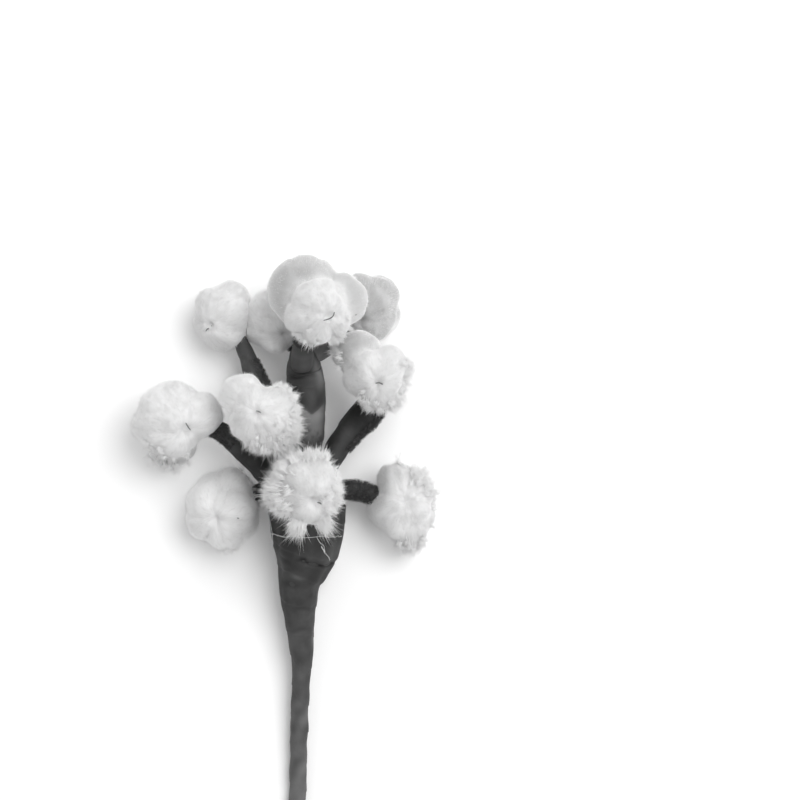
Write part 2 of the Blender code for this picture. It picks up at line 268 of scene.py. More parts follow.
def new_piece(name, points, triangles, material, slot, **marks):
    """A mesh object in the part's frame, pressed flat where it would pass through the table. Marks
    are extra values on its points for the material, and 0 on points past the last that is given."""
    points = np.column_stack([points[:, :2], np.maximum(points[:, 2], 0)])
    mesh = bpy.data.meshes.new(name)
    mesh.vertices.add(len(points))
    mesh.vertices.foreach_set("co", (points * MM + SHEET_MIDDLE).ravel())
    mesh.loops.add(triangles.size)
    mesh.loops.foreach_set("vertex_index", triangles.ravel())
    mesh.polygons.add(len(triangles))
    mesh.polygons.foreach_set("loop_start", np.arange(0, triangles.size, 3))
    mesh.update(calc_edges=True)
    mesh.shade_smooth()
    for mark, values in marks.items():
        kind, field = ("FLOAT", "value") if values.ndim == 1 else ("FLOAT_VECTOR", "vector")
        padded = np.zeros((len(points), *values.shape[1:]))
        padded[: len(values)] = values
        mesh.attributes.new(mark, kind, "POINT").data.foreach_set(field, padded.ravel())
    mesh.materials.append(material)
    obj = placed(name, mesh)
    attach(obj, "root")
    return obj


def filled(made, sockets):
    """The shader node. Each of these sockets is set to the value given, or joined to the output."""
    for name, given in sockets.items():
        if isinstance(given, bpy.types.NodeSocket):
            made.id_data.links.new(given, made.inputs[name])
        else:
            made.inputs[name].default_value = given
    return made


def node(tree, kind, x, y, sockets=None, **settings):
    """A shader node at x, y, with the named settings and its sockets filled."""
    made = tree.nodes.new(kind)
    made.location = (x, y)
    for name, value in settings.items():
        setattr(made, name, value)
    return filled(made, sockets or {})


def new_material(name, values):
    """A material whose shader has these values: the material, its node tree and its shader."""
    material = bpy.data.materials.new(name)
    material.use_nodes = True
    tree = material.node_tree
    return material, tree, filled(tree.nodes["Principled BSDF"], values)


def marked(tree, x, y, name, output="Fac"):
    """The mark of this name, as a value or a "Vector"."""
    return node(tree, "ShaderNodeAttribute", x, y, attribute_name=name).outputs[output]


def mixed(tree, x, y, share, first, second):
    """The mix of two colours by a share. They are the mix node's sockets 6 and 7, and its output 2."""
    sockets = {0: share, 6: first, 7: second}
    return node(tree, "ShaderNodeMix", x, y, sockets, data_type="RGBA").outputs[2]


def soft_patches():
    """A shader node group for what comes and goes in soft patches. "Grain" is noise at "Place", and
    "Share" is how far the noise is on its way from "From" to "To", from 0 to 1."""
    group = bpy.data.node_groups.new("soft_patches", "ShaderNodeTree")
    group.interface.new_socket("Place", in_out="INPUT", socket_type="NodeSocketVector")
    for name in ("Scale", "Detail", "From", "To"):
        group.interface.new_socket(name, in_out="INPUT", socket_type="NodeSocketFloat")
    for name in ("Grain", "Share"):
        group.interface.new_socket(name, in_out="OUTPUT", socket_type="NodeSocketFloat")
    given = node(group, "NodeGroupInput", -600, 0).outputs
    sockets = {"Vector": given["Place"], "Scale": given["Scale"], "Detail": given["Detail"]}
    grain = node(group, "ShaderNodeTexNoise", -400, 0, sockets).outputs["Fac"]
    sockets = {"Value": grain, "From Min": given["From"], "From Max": given["To"]}
    share = node(group, "ShaderNodeMapRange", -200, 0, sockets).outputs["Result"]
    node(group, "NodeGroupOutput", 0, 0, {"Grain": grain, "Share": share})
    return group


patches_group = soft_patches()


def patches(tree, x, y, place, values):
    """The outputs of the group soft_patches, placed in a material with its own values."""
    sockets = {"Place": place, **values}
    return node(tree, "ShaderNodeGroup", x, y, sockets, node_tree=patches_group).outputs


def floral_tape():
    """Crepe tape: dark waxed paper, worn in patches, with fine crinkles that run along the tube. The
    mark "straight" is the place on the tube as if it were unbent. The marks "edge", "pale",
    "painted_shade" and "bare" run from 0 to 1: a tape edge, a paler place that is partly painted
    light, painted shade in folds, above a flap's edge and on shaded stalks, and bare wire."""
    material, tree, shader = new_material("floral_tape", TAPE_FINISH)
    straight = marked(tree, -1400, 0, "straight", "Vector")
    worn = patches(tree, -1000, 300, straight, TAPE_WEAR)["Share"]
    colour = mixed(tree, -800, 300, worn, TAPE_DARK, TAPE_WORN)
    for i, (mark, paint) in enumerate(TAPE_MARKS.items()):
        share = marked(tree, 200 * i - 800, 600, mark)
        colour = mixed(tree, 200 * i - 600, 300, share, colour, paint)
    sockets = {"Vector": straight, "Scale": CRINKLE_STRETCH}
    place = node(tree, "ShaderNodeMapping", -1200, 0, sockets).outputs["Vector"]
    crinkle = node(tree, "ShaderNodeTexNoise", -1000, 0, {"Vector": place, **CRINKLE}).outputs["Fac"]
    bump = node(tree, "ShaderNodeBump", -800, 0, {"Height": crinkle, **CRINKLE_BUMP}).outputs["Normal"]
    filled(shader, {"Base Color": colour, "Metallic": marked(tree, -200, 0, "bare"), "Normal": bump})
    return material


tape = floral_tape()


def paler_to_cut(rows, lengths, angles):
    """The tape is drawn paler towards the cut end, as painted light: from 0 at PALE_FROM mm from it to
    CUT_PALE at PALE_TO. A bell at each of NECK_PALE_AND_HIGHLIGHTS is added, and a crumple
    makes it all uneven."""
    # painted light, paler towards the cut end
    lit_and_pale = CUT_PALE * np.clip((PALE_FROM - lengths) / (PALE_FROM - PALE_TO), 0, 1)
    for y, length, middle, width, amount in NECK_PALE_AND_HIGHLIGHTS:
        turn = (np.degrees(angles) - middle + 180) % 360 - 180
        lit_and_pale = lit_and_pale + amount * bell((rows[:, 1:2] - y) / length) * bell(turn / width)
    return lit_and_pale * (1 + PALE_UNEVEN * crumple(lengths, angles, PALE_SEED))


def taped_sleeve(name, rows, tape_step, seed, ribs, paler):
    """A sleeve of wound tape. Its outer wall runs up from the cut end and its bore runs back, so
    the rings close on themselves. `ribs` gives what is added to its radius and how much painted
    shade it gets, in folds and above a flap's edge, and `paler` how pale it is, partly as painted
    light, both at angles from the sleeve's right towards its top."""
    rows, lengths = drawn_evenly(rows, SLEEVE_STEP)
    radii = rows[:, 3:]
    right, down = right_and_down(rows[:, :3])
    angles = ring_angles(SLEEVE_SIDES)
    height, near = winding(lengths[:, None], angles, tape_step, seed)
    raised, painted_shade = ribs(rows, -angles)
    outer = radii - TAPE_EDGE + height + raised
    back = np.arange(len(rows))[::-BORE_SKIP]
    way = np.concatenate([np.arange(len(rows)), back])
    wall = np.concatenate([outer, np.broadcast_to(radii - TAPE_WALL, outer.shape)[back]])
    points, straight = bent_tube(rows[way, :3], right[way], down[way], wall, lengths[way])
    marks = {
        "straight": straight,
        "edge": EDGE_PALE * near.ravel(),
        "pale": paler(rows, lengths[:, None], -angles).ravel(),
        "painted_shade": painted_shade.ravel(),
    }
    triangles = tube_triangles(len(wall), SLEEVE_SIDES, True)
    return new_piece(name, points, triangles, tape, "tape", **marks)


def folded(rows, angles, folds):
    """How far folds press the tape in, and the painted shade of a place deep in a fold, from 0 to 1.
    Each fold is a groove across the sleeve that bends as a wave."""
    pressed_in = 0
    painted_shade = 0
    for fold_y, depth, width, middle, spread in folds:
        turn = (angles - np.radians(middle) + np.pi) % (2 * np.pi) - np.pi
        wave = FOLD_WAVE * np.sin(FOLD_BENDS * turn + middle)
        reach = np.exp(-((turn / np.radians(spread)) ** 4))
        groove = reach * bell((rows[:, 1:2] - fold_y + wave) / width)
        pressed_in = pressed_in + depth * groove
        # painted shade: darker the deeper the fold
        painted_shade = np.maximum(painted_shade, np.minimum(1, depth / FULL_SHADE_FOLD_DEPTH) * groove)
    return pressed_in, painted_shade


def neck_ribs(rows, angles):
    """The stalks in the neck show through the tape as soft ribs, a wave round it, and the narrowing
    tape has cross folds, with painted shade in them."""
    flare = (rows[:, 3:] - RIBS_FROM_RADIUS) / (RIBS_FULL_RADIUS - RIBS_FROM_RADIUS)
    pressed_in, painted_shade = folded(rows, angles, NECK_FOLDS)
    ribs = RIB_HEIGHT * np.clip(flare, 0, 1) * np.cos(RIBS * (angles - RIB_TURN))
    return ribs - pressed_in, painted_shade


line = sleeve_line()
neck = taped_sleeve("stem_sleeve", line, SLEEVE_TAPE_STEP, SLEEVE_SEED, neck_ribs, paler_to_cut)
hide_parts("stem_wrap")


# Threads of dried glue and loose tape edges on the neck. Each thin line is given as places on the
# sleeve, y and the angle round it in degrees from the stem's right, then its thickness.
NECK_THREADS = {
    "thread_across": (((-36.6, 165), (-36.0, 140), (-35.3, 100)), 0.24),
    "thread_faint": (((-35.3, 98), (-35.6, 60), (-36.7, 18)), 0.12),
    "thread_side": (((-29.7, 166), (-33.0, 162), (-36.3, 161), (-40.0, 164)), 0.2),
    "thread_slant": (((-35.4, 74), (-37.0, 68), (-38.1, 60), (-40.1, 56), (-42.0, 38)), 0.13),
    "thread_knot": (((-38.3, 64), (-39.1, 60), (-39.8, 57)), 0.24),
}
THREAD_PROUD = 0.1
THREAD_POINTS = 60
THREAD_SIDES = 8
DIRECTIONS_TRIED = 200
# pale, smooth and a little glossy: two colours, their roughness, its gloss, and its patches' size
DRIED_GLUE = ((grey(0.5), grey(0.7)), (0.45, 0.25), 0.5, 0.8)
FINISH_PATCHES = {"Detail": 2, "From": 0.4, "To": 0.6}


def in_patches(name, colours, roughness, specular, size):
    """A material whose colour and roughness run between two values each, in soft patches `size` mm
    across: both follow the patches' share."""
    material, tree, shader = new_material(name, {"Specular IOR Level": specular})
    place = node(tree, "ShaderNodeTexCoord", -800, 300).outputs["Object"]
    share = patches(tree, -600, 300, place, {"Scale": 1 / (size * MM), **FINISH_PATCHES})["Share"]
    sockets = {"Value": share, "To Min": roughness[0], "To Max": roughness[1]}
    rough = node(tree, "ShaderNodeMapRange", -400, 0, sockets).outputs["Result"]
    filled(shader, {"Base Color": mixed(tree, -400, 300, share, *colours), "Roughness": rough})
    return material


def even_directions(count, wander=0):
    """Directions spread evenly over a ball: equal steps of height, each turned a golden angle, and
    then turned by how much they wander."""
    k = np.arange(count)
    height = 1 - (2 * k + 1) / count
    around = k * np.pi * (3 - np.sqrt(5)) + wander
    width = np.sqrt(1 - height**2)
    return np.stack([width * np.cos(around), width * np.sin(around), height], axis=1)


def across(line):
    """Two unit directions across a path at each of its points. The first is square to the path and
    to the one fixed direction, of those tried, that the path runs along least."""
    forward = unit(np.gradient(line, axis=0))
    tried = even_directions(DIRECTIONS_TRIED)
    steady = tried[np.abs(forward @ tried.T).max(axis=0).argmin()]
    side = unit(np.cross(forward, steady))
    return side, np.cross(forward, side)


def rod(rows, sides):
    """A round rod along rows of x, y, z, radius, closed at its ends: its points and triangles."""
    wall = np.repeat(rows[:, 3:], sides, axis=1)
    points, _ = bent_tube(rows[:, :3], *across(rows[:, :3]), wall, lengths_along(rows))
    return points, tube_triangles(len(rows), sides, False)


def on_neck(y, degrees):
    """Places on the neck's outside, from the y of the sleeve's middle line and the angle there."""
    rows, _ = drawn_evenly(sleeve_line(), SLEEVE_STEP)
    right, down = right_and_down(rows[:, :3])
    picked = np.searchsorted(rows[:, 1], y)
    rows, right, down = rows[picked], right[picked], down[picked]
    angles = np.radians(degrees)[:, None]
    raised, _ = neck_ribs(rows, angles)
    out = np.cos(angles) * right - np.sin(angles) * down
    return rows[:, :3] + (rows[:, 3:] + raised + THREAD_PROUD) * out


dried_glue = in_patches("dried_glue", *DRIED_GLUE)
for name, (places, thickness) in NECK_THREADS.items():
    places = np.array(places, float)
    at = np.linspace(0, len(places) - 1, THREAD_POINTS)
    y, degrees = (np.interp(at, np.arange(len(places)), column) for column in places.T)
    rows = np.column_stack([on_neck(y, degrees), np.full(len(y), thickness / 2)])
    new_piece(name, *rod(rows, THREAD_SIDES), dried_glue, "tape")


# Fork sleeve. Three of the stalks leave the neck together in a second sleeve of the same tape,
# and part again at its end.
FORK_ROWS = np.array((
    (-25.7, -17.0, 15.7, 4.4),
    (-25.8, -12.6, 16.1, 4.5),
    (-25.8, -8.8, 16.6, 5.1),
    (-25.8, -2.7, 17.0, 5.5),
    (-25.8, 2.7, 17.3, 5.4),
    (-26.0, 6.6, 17.7, 5.2),
    (-26.3, 8.8, 18.2, 4.8),
))
# past its end the tape is drawn in round the stalk that stands highest
FORK_GATHER = np.array((
    (-26.35, 9.9, 19.3, 4.6),
    (-26.5, 11.3, 21.2, 3.9),
    (-26.6, 12.6, 23.2, 3.1),
))
FORK_TAPE_STEP = 7.0
FORK_SEED = 21
FORK_PALE_SEED = 5
# how high round the fork its front starts and how soon it is all front, as heights from -1 to 1
FRONT_FROM = 0.2
FRONT_FULL = 0.8
# the lap of a flap on the fork's front: the y and side of its lowest place, and how it rises
FLAP_Y = -3.8
FLAP_X = 1.8
FLAP_SLOPE = 0.9
FLAP_STEP = 0.35
FLAP_SOFT = 0.35
FLAP_END = -13.0
# how far the painted shade above the flap's edge reaches, and how dark it is
FLAP_SHADE = 3.0
FLAP_PAINTED_SHADE = 0.5
FLAP_PALE = 0.9
FORK_FOLDS = (
    (6.9, 0.4, 0.5, 100, 50),
    (1.0, 0.2, 1.2, 120, 40),
)
# a paler place on the fork's shoulder, and a ridge where its tape is drawn in, as y, length along the
# stalk, degrees from the right and its spread, then how pale and how high they are
SHOULDER = (7.3, 3.5, 36.0, 22.0)
SHOULDER_PALE = 0.9
RIDGE = (8.2, 0.7, 110.0, 50.0)
RIDGE_HEIGHT = 0.35


def fork_front(angles):
    """How far a place is on the fork's front, from 0 to 1."""
    return np.clip((np.sin(angles) - FRONT_FROM) / (FRONT_FULL - FRONT_FROM), 0, 1)


def below_flap(rows, angles):
    """How far a place is below the flap's V-shaped edge on the fork's front, in mm."""
    off = rows[:, 3:] * np.cos(angles) - FLAP_X
    return FLAP_Y + FLAP_SLOPE * np.abs(off) - rows[:, 1:2]


def fork_spot(rows, angles, y, length, middle, spread):
    """How near a place is to the middle of a spot on the fork: a bell along it times one round it."""
    turn = np.degrees(angles) % 360 - middle
    return bell((rows[:, 1:2] - y) / length) * bell(turn / spread)


def fork_folds(rows, angles):
    """The flap's edge is a step up going down the stalk, with painted shade on the tape just above it,
    and a ridge runs round the fork where its tape is drawn in. Its folds get painted shade too."""
    below = below_flap(rows, angles)
    step = FLAP_STEP * fork_front(angles) / (1 + np.exp(-below / FLAP_SOFT))
    ridge = RIDGE_HEIGHT * fork_spot(rows, angles, *RIDGE)
    pressed_in, painted_shade = folded(rows, angles, FORK_FOLDS)
    # painted shade on the tape just above the flap's edge
    shade = FLAP_PAINTED_SHADE * fork_front(angles) * (below < 0) * bell(below / FLAP_SHADE)
    return step + ridge - pressed_in, np.maximum(painted_shade, shade)


def fork_pale(rows, lengths, angles):
    """The flap is paler than the tape above it, most just below its edge, and so is the tape on the
    fork's upper right."""
    fade = np.clip((rows[:, 1:2] - FLAP_END) / (FLAP_Y - FLAP_END), 0, 1)
    flap = FLAP_PALE * fork_front(angles) * fade
    flap = flap / (1 + np.exp(-below_flap(rows, angles) / FLAP_SOFT))
    shoulder = SHOULDER_PALE * fork_spot(rows, angles, *SHOULDER)
    return (flap + shoulder) * (1 + PALE_UNEVEN * crumple(lengths, angles, FORK_PALE_SEED))


rows = np.concatenate([FORK_ROWS, FORK_GATHER])
fork = taped_sleeve("fork_sleeve", rows, FORK_TAPE_STEP, FORK_SEED, fork_folds, fork_pale)
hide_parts("fork_wrap")

# the doubled tape round the foot of the stalk that stands highest, as x, y, z, radius
CUFF_ROWS = np.array((
    (-26.8, 7.7, 21.3, 1.0),
    (-26.8, 8.2, 21.5, 2.2),
    (-26.75, 9.2, 21.9, 2.85),
    (-26.6, 11.2, 23.0, 3.05),
    (-26.4, 13.3, 24.6, 3.0),
    (-26.0, 15.6, 26.7, 2.7),
))
CUFF_STEP = 0.3
CUFF_SIDES = 40
CUFF_PALE = 0.22

rows, lengths = drawn_evenly(CUFF_ROWS, CUFF_STEP)
points, triangles = rod(rows, CUFF_SIDES)
straight = np.column_stack([np.repeat(lengths, CUFF_SIDES), points[:, 1:]])
pale = np.full(len(points), CUFF_PALE)
new_piece("fork_cuff", points, triangles, tape, "tape", straight=straight, pale=pale)


# Stalks. Each is a wire with the same tape wound round it, thicker where the tape is doubled. Nine
# stand in a ring round the tenth in the neck, and bare wire runs from there down to the cut end.

# Each stalk: its angle in that ring, its angle in the fork sleeve, both in degrees from +X towards
# +Z, then the way from there to inside its head, as x, y, z, radius. None is the middle of the ring,
# or a stalk that isn't in the fork.
STALKS = {
    "stalk_1": (170, None, (
        (-37.8, -18.6, 17.8, 3.3), (-42.1, -14.2, 18.5, 3.2), (-48.7, -8.8, 18.5, 2.8),
        (-53.9, -6.6, 18.5, 2.3), (-58.5, -5.7, 18.3, 1.6),
    )),
    "stalk_2": (250, None, (
        (-29.9, -21.6, 9.8, 2.3), (-32.6, -11.0, 11.0, 2.6), (-35.9, -1.4, 11.5, 2.9),
        (-39.9, 6.1, 11.5, 2.8), (-42.6, 13.0, 11.0, 2.2), (-44.5, 17.1, 10.6, 1.9),
        (-46.7, 20.7, 10.2, 1.5),
    )),
    "stalk_3": (210, None, (
        (-32.8, -25.4, 11.3, 2.0), (-36.5, -24.3, 11.0, 2.0), (-40.3, -26.0, 11.0, 1.8),
        (-44.2, -27.6, 11.0, 1.5),
    )),
    "stalk_4": (130, None, (
        (-31.5, -21.2, 23.0, 2.3), (-34.2, -14.1, 25.5, 2.2), (-36.2, -8.6, 28.5, 2.0),
        (-37.4, -5.4, 32.0, 1.5),
    )),
    "stalk_5": (90, None, (
        (-24.9, -26.5, 26.0, 2.1), (-24.5, -25.3, 30.0, 1.8), (-24.4, -24.7, 34.0, 1.5),
    )),
    "stalk_6": (None, 150, (
        (-26.6, 13.0, 23.8, 2.7), (-25.7, 17.0, 28.0, 2.5), (-23.9, 21.0, 32.5, 1.6),
    )),
    "stalk_7": (50, 30, (
        (-24.2, 10.8, 19.4, 1.8), (-22.0, 12.8, 18.2, 2.3), (-19.2, 15.4, 16.0, 2.5),
        (-16.4, 18.8, 13.6, 2.3), (-13.3, 22.6, 11.3, 1.6),
    )),
    "stalk_8": (10, None, (
        (-19.5, -20.3, 14.9, 2.3), (-17.8, -14.2, 13.3, 3.2), (-13.3, -7.8, 12.4, 3.7),
        (-8.8, -3.0, 12.8, 4.2), (-6.7, 0.1, 15.2, 3.1), (-5.9, 2.4, 18.8, 2.2),
        (-5.7, 4.0, 22.5, 1.6),
    )),
    "stalk_9": (330, None, (
        (-18.2, -25.7, 11.3, 2.1), (-14.4, -24.9, 11.0, 2.2), (-9.9, -25.4, 10.8, 2.2),
        (-6.1, -26.8, 10.6, 1.9), (-2.2, -28.2, 10.4, 1.5),
    )),
    "stalk_10": (290, 270, (
        (-26.5, 10.8, 15.7, 1.7), (-27.5, 12.9, 13.8, 1.9), (-29.2, 15.2, 11.6, 1.9),
        (-31.0, 17.4, 10.2, 1.8), (-32.9, 19.9, 9.6, 1.5),
    )),
}
FORK_STALKS = 3
# how much paler some stalks are drawn, as painted light, and darker, as painted shade, than the rest
LIT_STALKS = {"stalk_2": 0.15, "stalk_6": 0.25, "stalk_7": 0.6}
SHADED_STALKS = {"stalk_8": 0.3, "stalk_1": 0.15}
BUNDLE_GAP = 0.2
SLOT_FILL = 0.9
SLOT_AIR = 0.07
STALK_SIDES = 28
STALK_STEP = 0.5
WIRE_STEP = 4.0
STALK_TAPE_STEP = 6.5
STALK_SEED = 40
# the tape starts this far inside the neck and is at its full thickness this much further on
TAPE_INSIDE = 6.0
TAPE_START = 2.0


def slot_rows(sleeve, count, angle):
    """A stalk's place in a sleeve: `count` equal circles that touch in a ring inside its bore."""
    bore = sleeve[:, 3] - TAPE_WALL - BUNDLE_GAP
    spread = 1 / np.sin(np.pi / count)
    pitch = bore / (1 + spread)
    rows = sleeve.copy()
    rows[:, 3] = SLOT_FILL * pitch - SLOT_AIR
    if angle is not None:
        rows[:, 0] += pitch * spread * np.cos(np.radians(angle))
        rows[:, 2] += pitch * spread * np.sin(np.radians(angle))
    return rows


def stalk_rows(name):
    """Up the neck in its slot, through the fork if it is in it, and on to its head: the rows, and
    the length at which the stalk leaves the neck."""
    slot, fork_angle, way = STALKS[name]
    parts = [slot_rows(sleeve_line(), len(STALKS) - 1, slot)]
    mouth = lengths_along(parts[0])[-1]
    if fork_angle is not None:
        parts.append(slot_rows(FORK_ROWS, FORK_STALKS, fork_angle))
    return np.concatenate([*parts, way]), mouth


def taped_stalk(name, seed):
    """A tube along the stalk's rows. The tape's winding starts just inside the neck's mouth."""
    rows, mouth = stalk_rows(name)
    end = lengths_along(rows)[-1]
    lengths = np.concatenate([evenly(0, mouth, WIRE_STEP)[:-1], evenly(mouth, end, STALK_STEP)])
    rows = drawn_smooth(rows, lengths)
    height, near = winding(lengths[:, None], ring_angles(STALK_SIDES), STALK_TAPE_STEP, seed)
    taped = np.clip((lengths[:, None] - mouth + TAPE_INSIDE) / TAPE_START, 0, 1)
    wall = rows[:, 3:] + taped * (height - TAPE_EDGE / 2)
    points, straight = bent_tube(rows[:, :3], *across(rows[:, :3]), wall, lengths)
    marks = {
        "straight": straight,
        "edge": (EDGE_PALE * taped * near).ravel(),
        "bare": np.repeat(1 - taped, STALK_SIDES),
        # paler stalks are painted light, darker ones painted shade
        "pale": np.full(len(points), LIT_STALKS.get(name, 0)),
        "painted_shade": np.full(len(points), SHADED_STALKS.get(name, 0)),
    }
    triangles = tube_triangles(len(rows), STALK_SIDES, False)
    piece = new_piece(name + "_taped", points, triangles, tape, "tape", **marks)
    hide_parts(name)


for i, name in enumerate(STALKS):
    taped_stalk(name, STALK_SEED + 2 * i)


# Dark pile. The stalks are black chenille under their tape, and its pile shows as ruffs under the
# heads and in stretches where the tape has opened.

# Each patch: its stalk, from and to in mm back from the stalk's upper end, the middle of the side
# that it is on and its spread in degrees from straight up, how many hairs and how long they are.
DARK_PATCHES = {
    "ruff_1": ("stalk_1", 5.5, 15.0, -25, 40, 800, 1.2),
    "ruff_2": ("stalk_2", 11.5, 20.0, 60, 50, 900, 1.1),
    "ruff_3": ("stalk_3", 2.5, 6.0, 0, 80, 630, 0.9),
    "ruff_6": ("stalk_6", 4.5, 8.0, 0, 90, 1080, 0.9),
    "ruff_7": ("stalk_7", 5.0, 11.0, 40, 70, 1080, 1.1),
    "ruff_8": ("stalk_8", 9.0, 25.0, 80, 45, 2340, 1.1),
    "ruff_9": ("stalk_9", 4.5, 15.5, 0, 180, 4680, 1.4),
    "ruff_fork": ("fork", 17.0, 25.0, 0, 60, 800, 1.5),
    "ruff_10": ("stalk_10", 6.0, 9.0, 0, 90, 540, 0.8),
}
RUFF_SEED = 200
# how far along it each ring of a hair is, and how thick it is there, both as a share
HAIR_RINGS = ((0.0, 1.0), (0.55, 0.75))
HAIR_SUNK = 0.4
HAIR_THICK = 0.045
HAIR_SWEEP = 0.6
HAIR_LENGTHS = (0.3, 1.0)
HAIR_BOW = 0.2
RUFF_PULL = (0.2, 0.7)
RUFF_TUFT = 12
SPARE_POINTS = 2
# black and matt, a little dusty in places
DARK_PILE = ((grey(0.06), grey(0.12)), (0.75, 0.85), 0.2, 1.2)


def hairs(roots, bends, tips, radius, rings=HAIR_RINGS):
    """Curved hairs of three sides: rings along a curve from root to tip that is drawn towards the
    bend, each ring thinner than the last, then the tip. Returns their points and triangles."""
    forward = unit(tips - roots)
    side = unit(np.cross(forward, np.eye(3)[np.abs(forward).argmin(axis=1)]))
    up = np.cross(forward, side)
    turns = np.radians((0, 120, 240))[None, :, None]
    around = np.cos(turns) * side[:, None] + np.sin(turns) * up[:, None]
    walls = []
    for t, thick in rings:
        middle = (1 - t) ** 2 * roots + 2 * t * (1 - t) * bends + t**2 * tips
        walls.append(middle[:, None] + radius * thick * around)
    points = np.concatenate([*walls, tips[:, None]], axis=1)
    last = 3 * (len(rings) - 1)
    faces = [(0, 2, 1), (last, last + 1, last + 3), (last + 1, last + 2, last + 3)]
    faces.append((last + 2, last, last + 3))
    for ring in range(0, last, 3):
        for a, b in ((0, 1), (1, 2), (2, 0)):
            faces += [(ring + a, ring + b, ring + b + 3), (ring + a, ring + b + 3, ring + a + 3)]
    triangles = points.shape[1] * np.arange(len(roots))[:, None, None] + np.array(faces)
    return points.reshape(-1, 3), triangles.reshape(-1, 3)


def in_tufts(places, tips, count, pulls, rng):
    """The tips of hairs that fall into tufts: each is pulled part of the way to the tip of the one
    nearest to its place, of a few chosen hairs."""
    hearts = rng.choice(len(places), count, replace=False)
    nearest = ((places[hearts] ** 2).sum(axis=1) - 2 * places @ places[hearts].T).argmin(axis=1)
    pull = rng.uniform(*pulls, count)[nearest][:, None]
    return tips + pull * (tips[hearts][nearest] - tips)


def ruff(name, stalk_name, start, end, middle, spread, number, length, seed):
    """Hairs on one side of a stretch of stalk. Each leans outward and a random way along the stalk,
    and they fall into tufts."""
    rng = np.random.default_rng(seed)
    rows = FORK_ROWS if stalk_name == "fork" else stalk_rows(stalk_name)[0]
    last = lengths_along(rows)[-1]
    spare = SPARE_POINTS * STALK_STEP
    path = drawn_smooth(rows, evenly(last - end - spare, last - start + spare, STALK_STEP))
    forward = unit(np.gradient(path[:, :3], axis=0))
    picked = rng.integers(SPARE_POINTS, len(path) - SPARE_POINTS, number)
    path, forward = path[picked], forward[picked]
    right = unit(np.cross(forward, (0, 0, 1)))
    upward = np.cross(right, forward)
    turn = np.radians(middle + spread * rng.uniform(-1, 1, number))[:, None]
    out = np.sin(turn) * right + np.cos(turn) * upward
    roots = path[:, :3] + (path[:, 3:] - HAIR_SUNK) * out
    sweep = rng.normal(0, HAIR_SWEEP, (number, 1)) * forward
    sweep = sweep + rng.normal(0, HAIR_SWEEP / 2, (number, 1)) * np.cross(out, forward)
    tips = roots + (out + sweep) * (HAIR_SUNK + length * rng.uniform(*HAIR_LENGTHS, (number, 1)))
    tips = in_tufts(roots, tips, number // RUFF_TUFT, RUFF_PULL, rng)
    bends = (roots + tips) / 2 + HAIR_BOW * length * out
    new_piece(name, *hairs(roots, bends, tips, HAIR_THICK), dark_pile, "tape")


dark_pile = in_patches("dark_chenille", *DARK_PILE)
for i, (name, patch) in enumerate(DARK_PATCHES.items()):
    ruff(name, *patch, RUFF_SEED + i)


# Flower heads. Each is wound from a stem of white chenille: a twisted wire that holds a dense pile
# on all sides. Its turns make lobes that part in creases and run together at a dimple, and here
# and there the pile is longer and falls into tufts.

